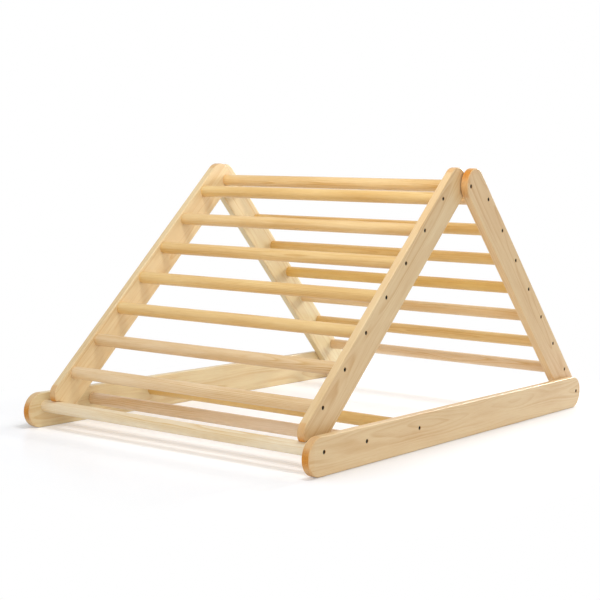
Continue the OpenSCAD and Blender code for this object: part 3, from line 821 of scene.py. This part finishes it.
# the lift, less what the rails crowd out of the floor beside them
place = add_node(tree, "ShaderNodeTexCoord").outputs["Object"]
mirrored = add_node(tree, "ShaderNodeVectorMath", {0: place}, operation="ABSOLUTE")
across = add_node(tree, "ShaderNodeSeparateXYZ", {0: mirrored}).outputs["X"]
rail_side = cad_bounds[1][0]
beside = add_node(tree, "ShaderNodeMapRange", {"Value": across, "From Min": rail_side - CONTACT_EDGE,
                                               "From Max": rail_side})
open_sky = add_node(tree, "ShaderNodeAmbientOcclusion", {"Distance": CONTACT_REACH},
                    samples=16).outputs["AO"]
crowded = add_node(tree, "ShaderNodeMapRange", {"Value": open_sky, "From Min": OPEN, "From Max": CROWDED})
taken = add_node(tree, "ShaderNodeMath", {0: crowded, 1: beside}, operation="MULTIPLY")
kept = add_node(tree, "ShaderNodeMath", {0: 1.0, 1: taken}, operation="SUBTRACT")
wanted = add_node(tree, "ShaderNodeMath", {0: kept, 1: FLOOR_LIFT}, operation="MULTIPLY")
lift = add_node(tree, "ShaderNodeMath", {0: seen, 1: wanted}, operation="MULTIPLY")
glow = add_node(tree, "ShaderNodeEmission", {"Color": (1, 1, 1, 1), "Strength": lift})
near = add_node(tree, "ShaderNodeAddShader", {0: lit, 1: glow})
white = add_node(tree, "ShaderNodeEmission", {"Color": (1, 1, 1, 1), "Strength": 1.0})

# how far a place on the floor lies outside the object's footprint
outside = add_node(tree, "ShaderNodeVectorMath", {0: mirrored, 1: cad_bounds[1]}, operation="SUBTRACT")
beyond = add_node(tree, "ShaderNodeVectorMath", {0: outside}, operation="MAXIMUM")
distance = add_node(tree, "ShaderNodeVectorMath", {0: beyond}, operation="LENGTH").outputs["Value"]
far = add_node(tree, "ShaderNodeMapRange", {"Value": distance, "From Min": FADE_FROM, "From Max": FADE_TO},
               interpolation_type="SMOOTHSTEP")
fade = add_node(tree, "ShaderNodeMath", {0: far, 1: seen}, operation="MULTIPLY")
mixed = add_node(tree, "ShaderNodeMixShader", {0: fade, 1: near, 2: white})
add_node(tree, "ShaderNodeOutputMaterial", {"Surface": mixed})
floor_mesh.materials.append(acrylic)
print("fades to white from", FADE_FROM, "to", FADE_TO, "m outside the footprint")

# %% [markdown]
# ## Light
# The photograph tells where its lamps were. The rungs throw soft shadows nearly straight down on the inner
# face of the far front rail, so one lamp hangs above. It also shines on the far rails' inner faces but not
# on the near rails' outer ones, which face the same way, so it hangs over the object and not beside it. On
# the far rear rail and the far base rail the shadows slant towards the camera, so a second lamp stands
# behind the object. The rungs are brightest where they face forward, so the third light is a broad soft one
# in front. White walls fill the rest, and a darker ceiling keeps the tops of the rungs from washing out.

# %% Surroundings and lamps
WALLS, CEILING = 1.12, 0.2   # strength for diffuse light at the horizon and overhead
world = bpy.data.worlds.new("white_surroundings")
bpy.context.scene.world = world
world.use_nodes = True
tree = world.node_tree
tree.nodes.clear()
path = add_node(tree, "ShaderNodeLightPath").outputs
shown = add_node(tree, "ShaderNodeMath", {0: path["Is Camera Ray"], 1: path["Is Glossy Ray"]},
                 operation="MAXIMUM")
shown = add_node(tree, "ShaderNodeMath", {0: shown, 1: path["Is Transmission Ray"]}, operation="MAXIMUM")
towards = add_node(tree, "ShaderNodeTexCoord").outputs["Generated"]
height = add_node(tree, "ShaderNodeSeparateXYZ", {0: towards}).outputs["Z"]
fill = add_node(tree, "ShaderNodeMapRange", {"Value": height, "To Min": WALLS, "To Max": CEILING})
strength = add_node(tree, "ShaderNodeMapRange", {"Value": shown, "To Min": fill, "To Max": 1.0})
sky = add_node(tree, "ShaderNodeBackground", {"Color": (1, 1, 1, 1), "Strength": strength})
add_node(tree, "ShaderNodeOutputWorld", {"Surface": sky})

# each lamp's place, the point it is aimed at and its width, in metres, and its power in watts
LAMPS = {"overhead_softbox": ((0.4, -0.6, 1.75), (-0.3, -0.2, 0.3), 0.45, 10),
         "rear_lamp": ((0.42, 2.3, 1.3), (-0.3, 0, 0.3), 0.6, 36),
         "front_softbox": ((1.5, -3.0, 1.6), (0, -0.2, 0.3), 1.6, 12)}
for name, (place, aim, size, power) in LAMPS.items():
    lamp = bpy.data.lights.new(name, "AREA")
    lamp.shape, lamp.size, lamp.energy = "SQUARE", size, power
    holder = bpy.data.objects.new(name, lamp)
    holder.location = place
    holder.rotation_euler = (Vector(aim) - Vector(place)).to_track_quat("-Z", "Y").to_euler()
    bpy.context.scene.collection.objects.link(holder)
print(len(LAMPS), "lamps")

# %% [markdown]
# ## The camera
# The photograph was matched by fitting a camera and the sizes of the object to 117 points of it: 32 screws,
# rung ends and pivots, and 85 points on the outlines. The camera stands in front of the right-hand corner,
# level with the top hinge, looks slightly down and is tilted by about a degree and a half.

# %% Camera
CAMERA_PLACE = Vector((2160.84, -3092.26, 653.19)) * MM
VIEW_AZIMUTH, VIEW_ELEVATION, VIEW_ROLL = (math.radians(a) for a in (36.08, 5.031, 1.395))
FOCAL_PIXELS, FRAME_PIXELS, SENSOR_MM = 1375.2, 600, 36.0   # focal length in pixels of a 600 pixel frame

back = Vector((math.sin(VIEW_AZIMUTH) * math.cos(VIEW_ELEVATION),
               -math.cos(VIEW_AZIMUTH) * math.cos(VIEW_ELEVATION), math.sin(VIEW_ELEVATION)))
level_right = Vector((math.cos(VIEW_AZIMUTH), math.sin(VIEW_AZIMUTH), 0))
right = level_right * math.cos(VIEW_ROLL) + back.cross(level_right) * math.sin(VIEW_ROLL)
up = back.cross(right)
camera = bpy.data.cameras.new("photo_camera")
camera.sensor_fit, camera.sensor_width = "HORIZONTAL", SENSOR_MM
camera.lens = FOCAL_PIXELS / FRAME_PIXELS * SENSOR_MM
holder = bpy.data.objects.new("photo_camera", camera)
holder.matrix_world = Matrix.Translation(CAMERA_PLACE) @ Matrix((right, up, back)).transposed().to_4x4()
bpy.context.scene.collection.objects.link(holder)
bpy.context.scene.camera = holder
bpy.context.scene.view_settings.view_transform = "Standard"
print("lens", round(camera.lens, 1), "mm")
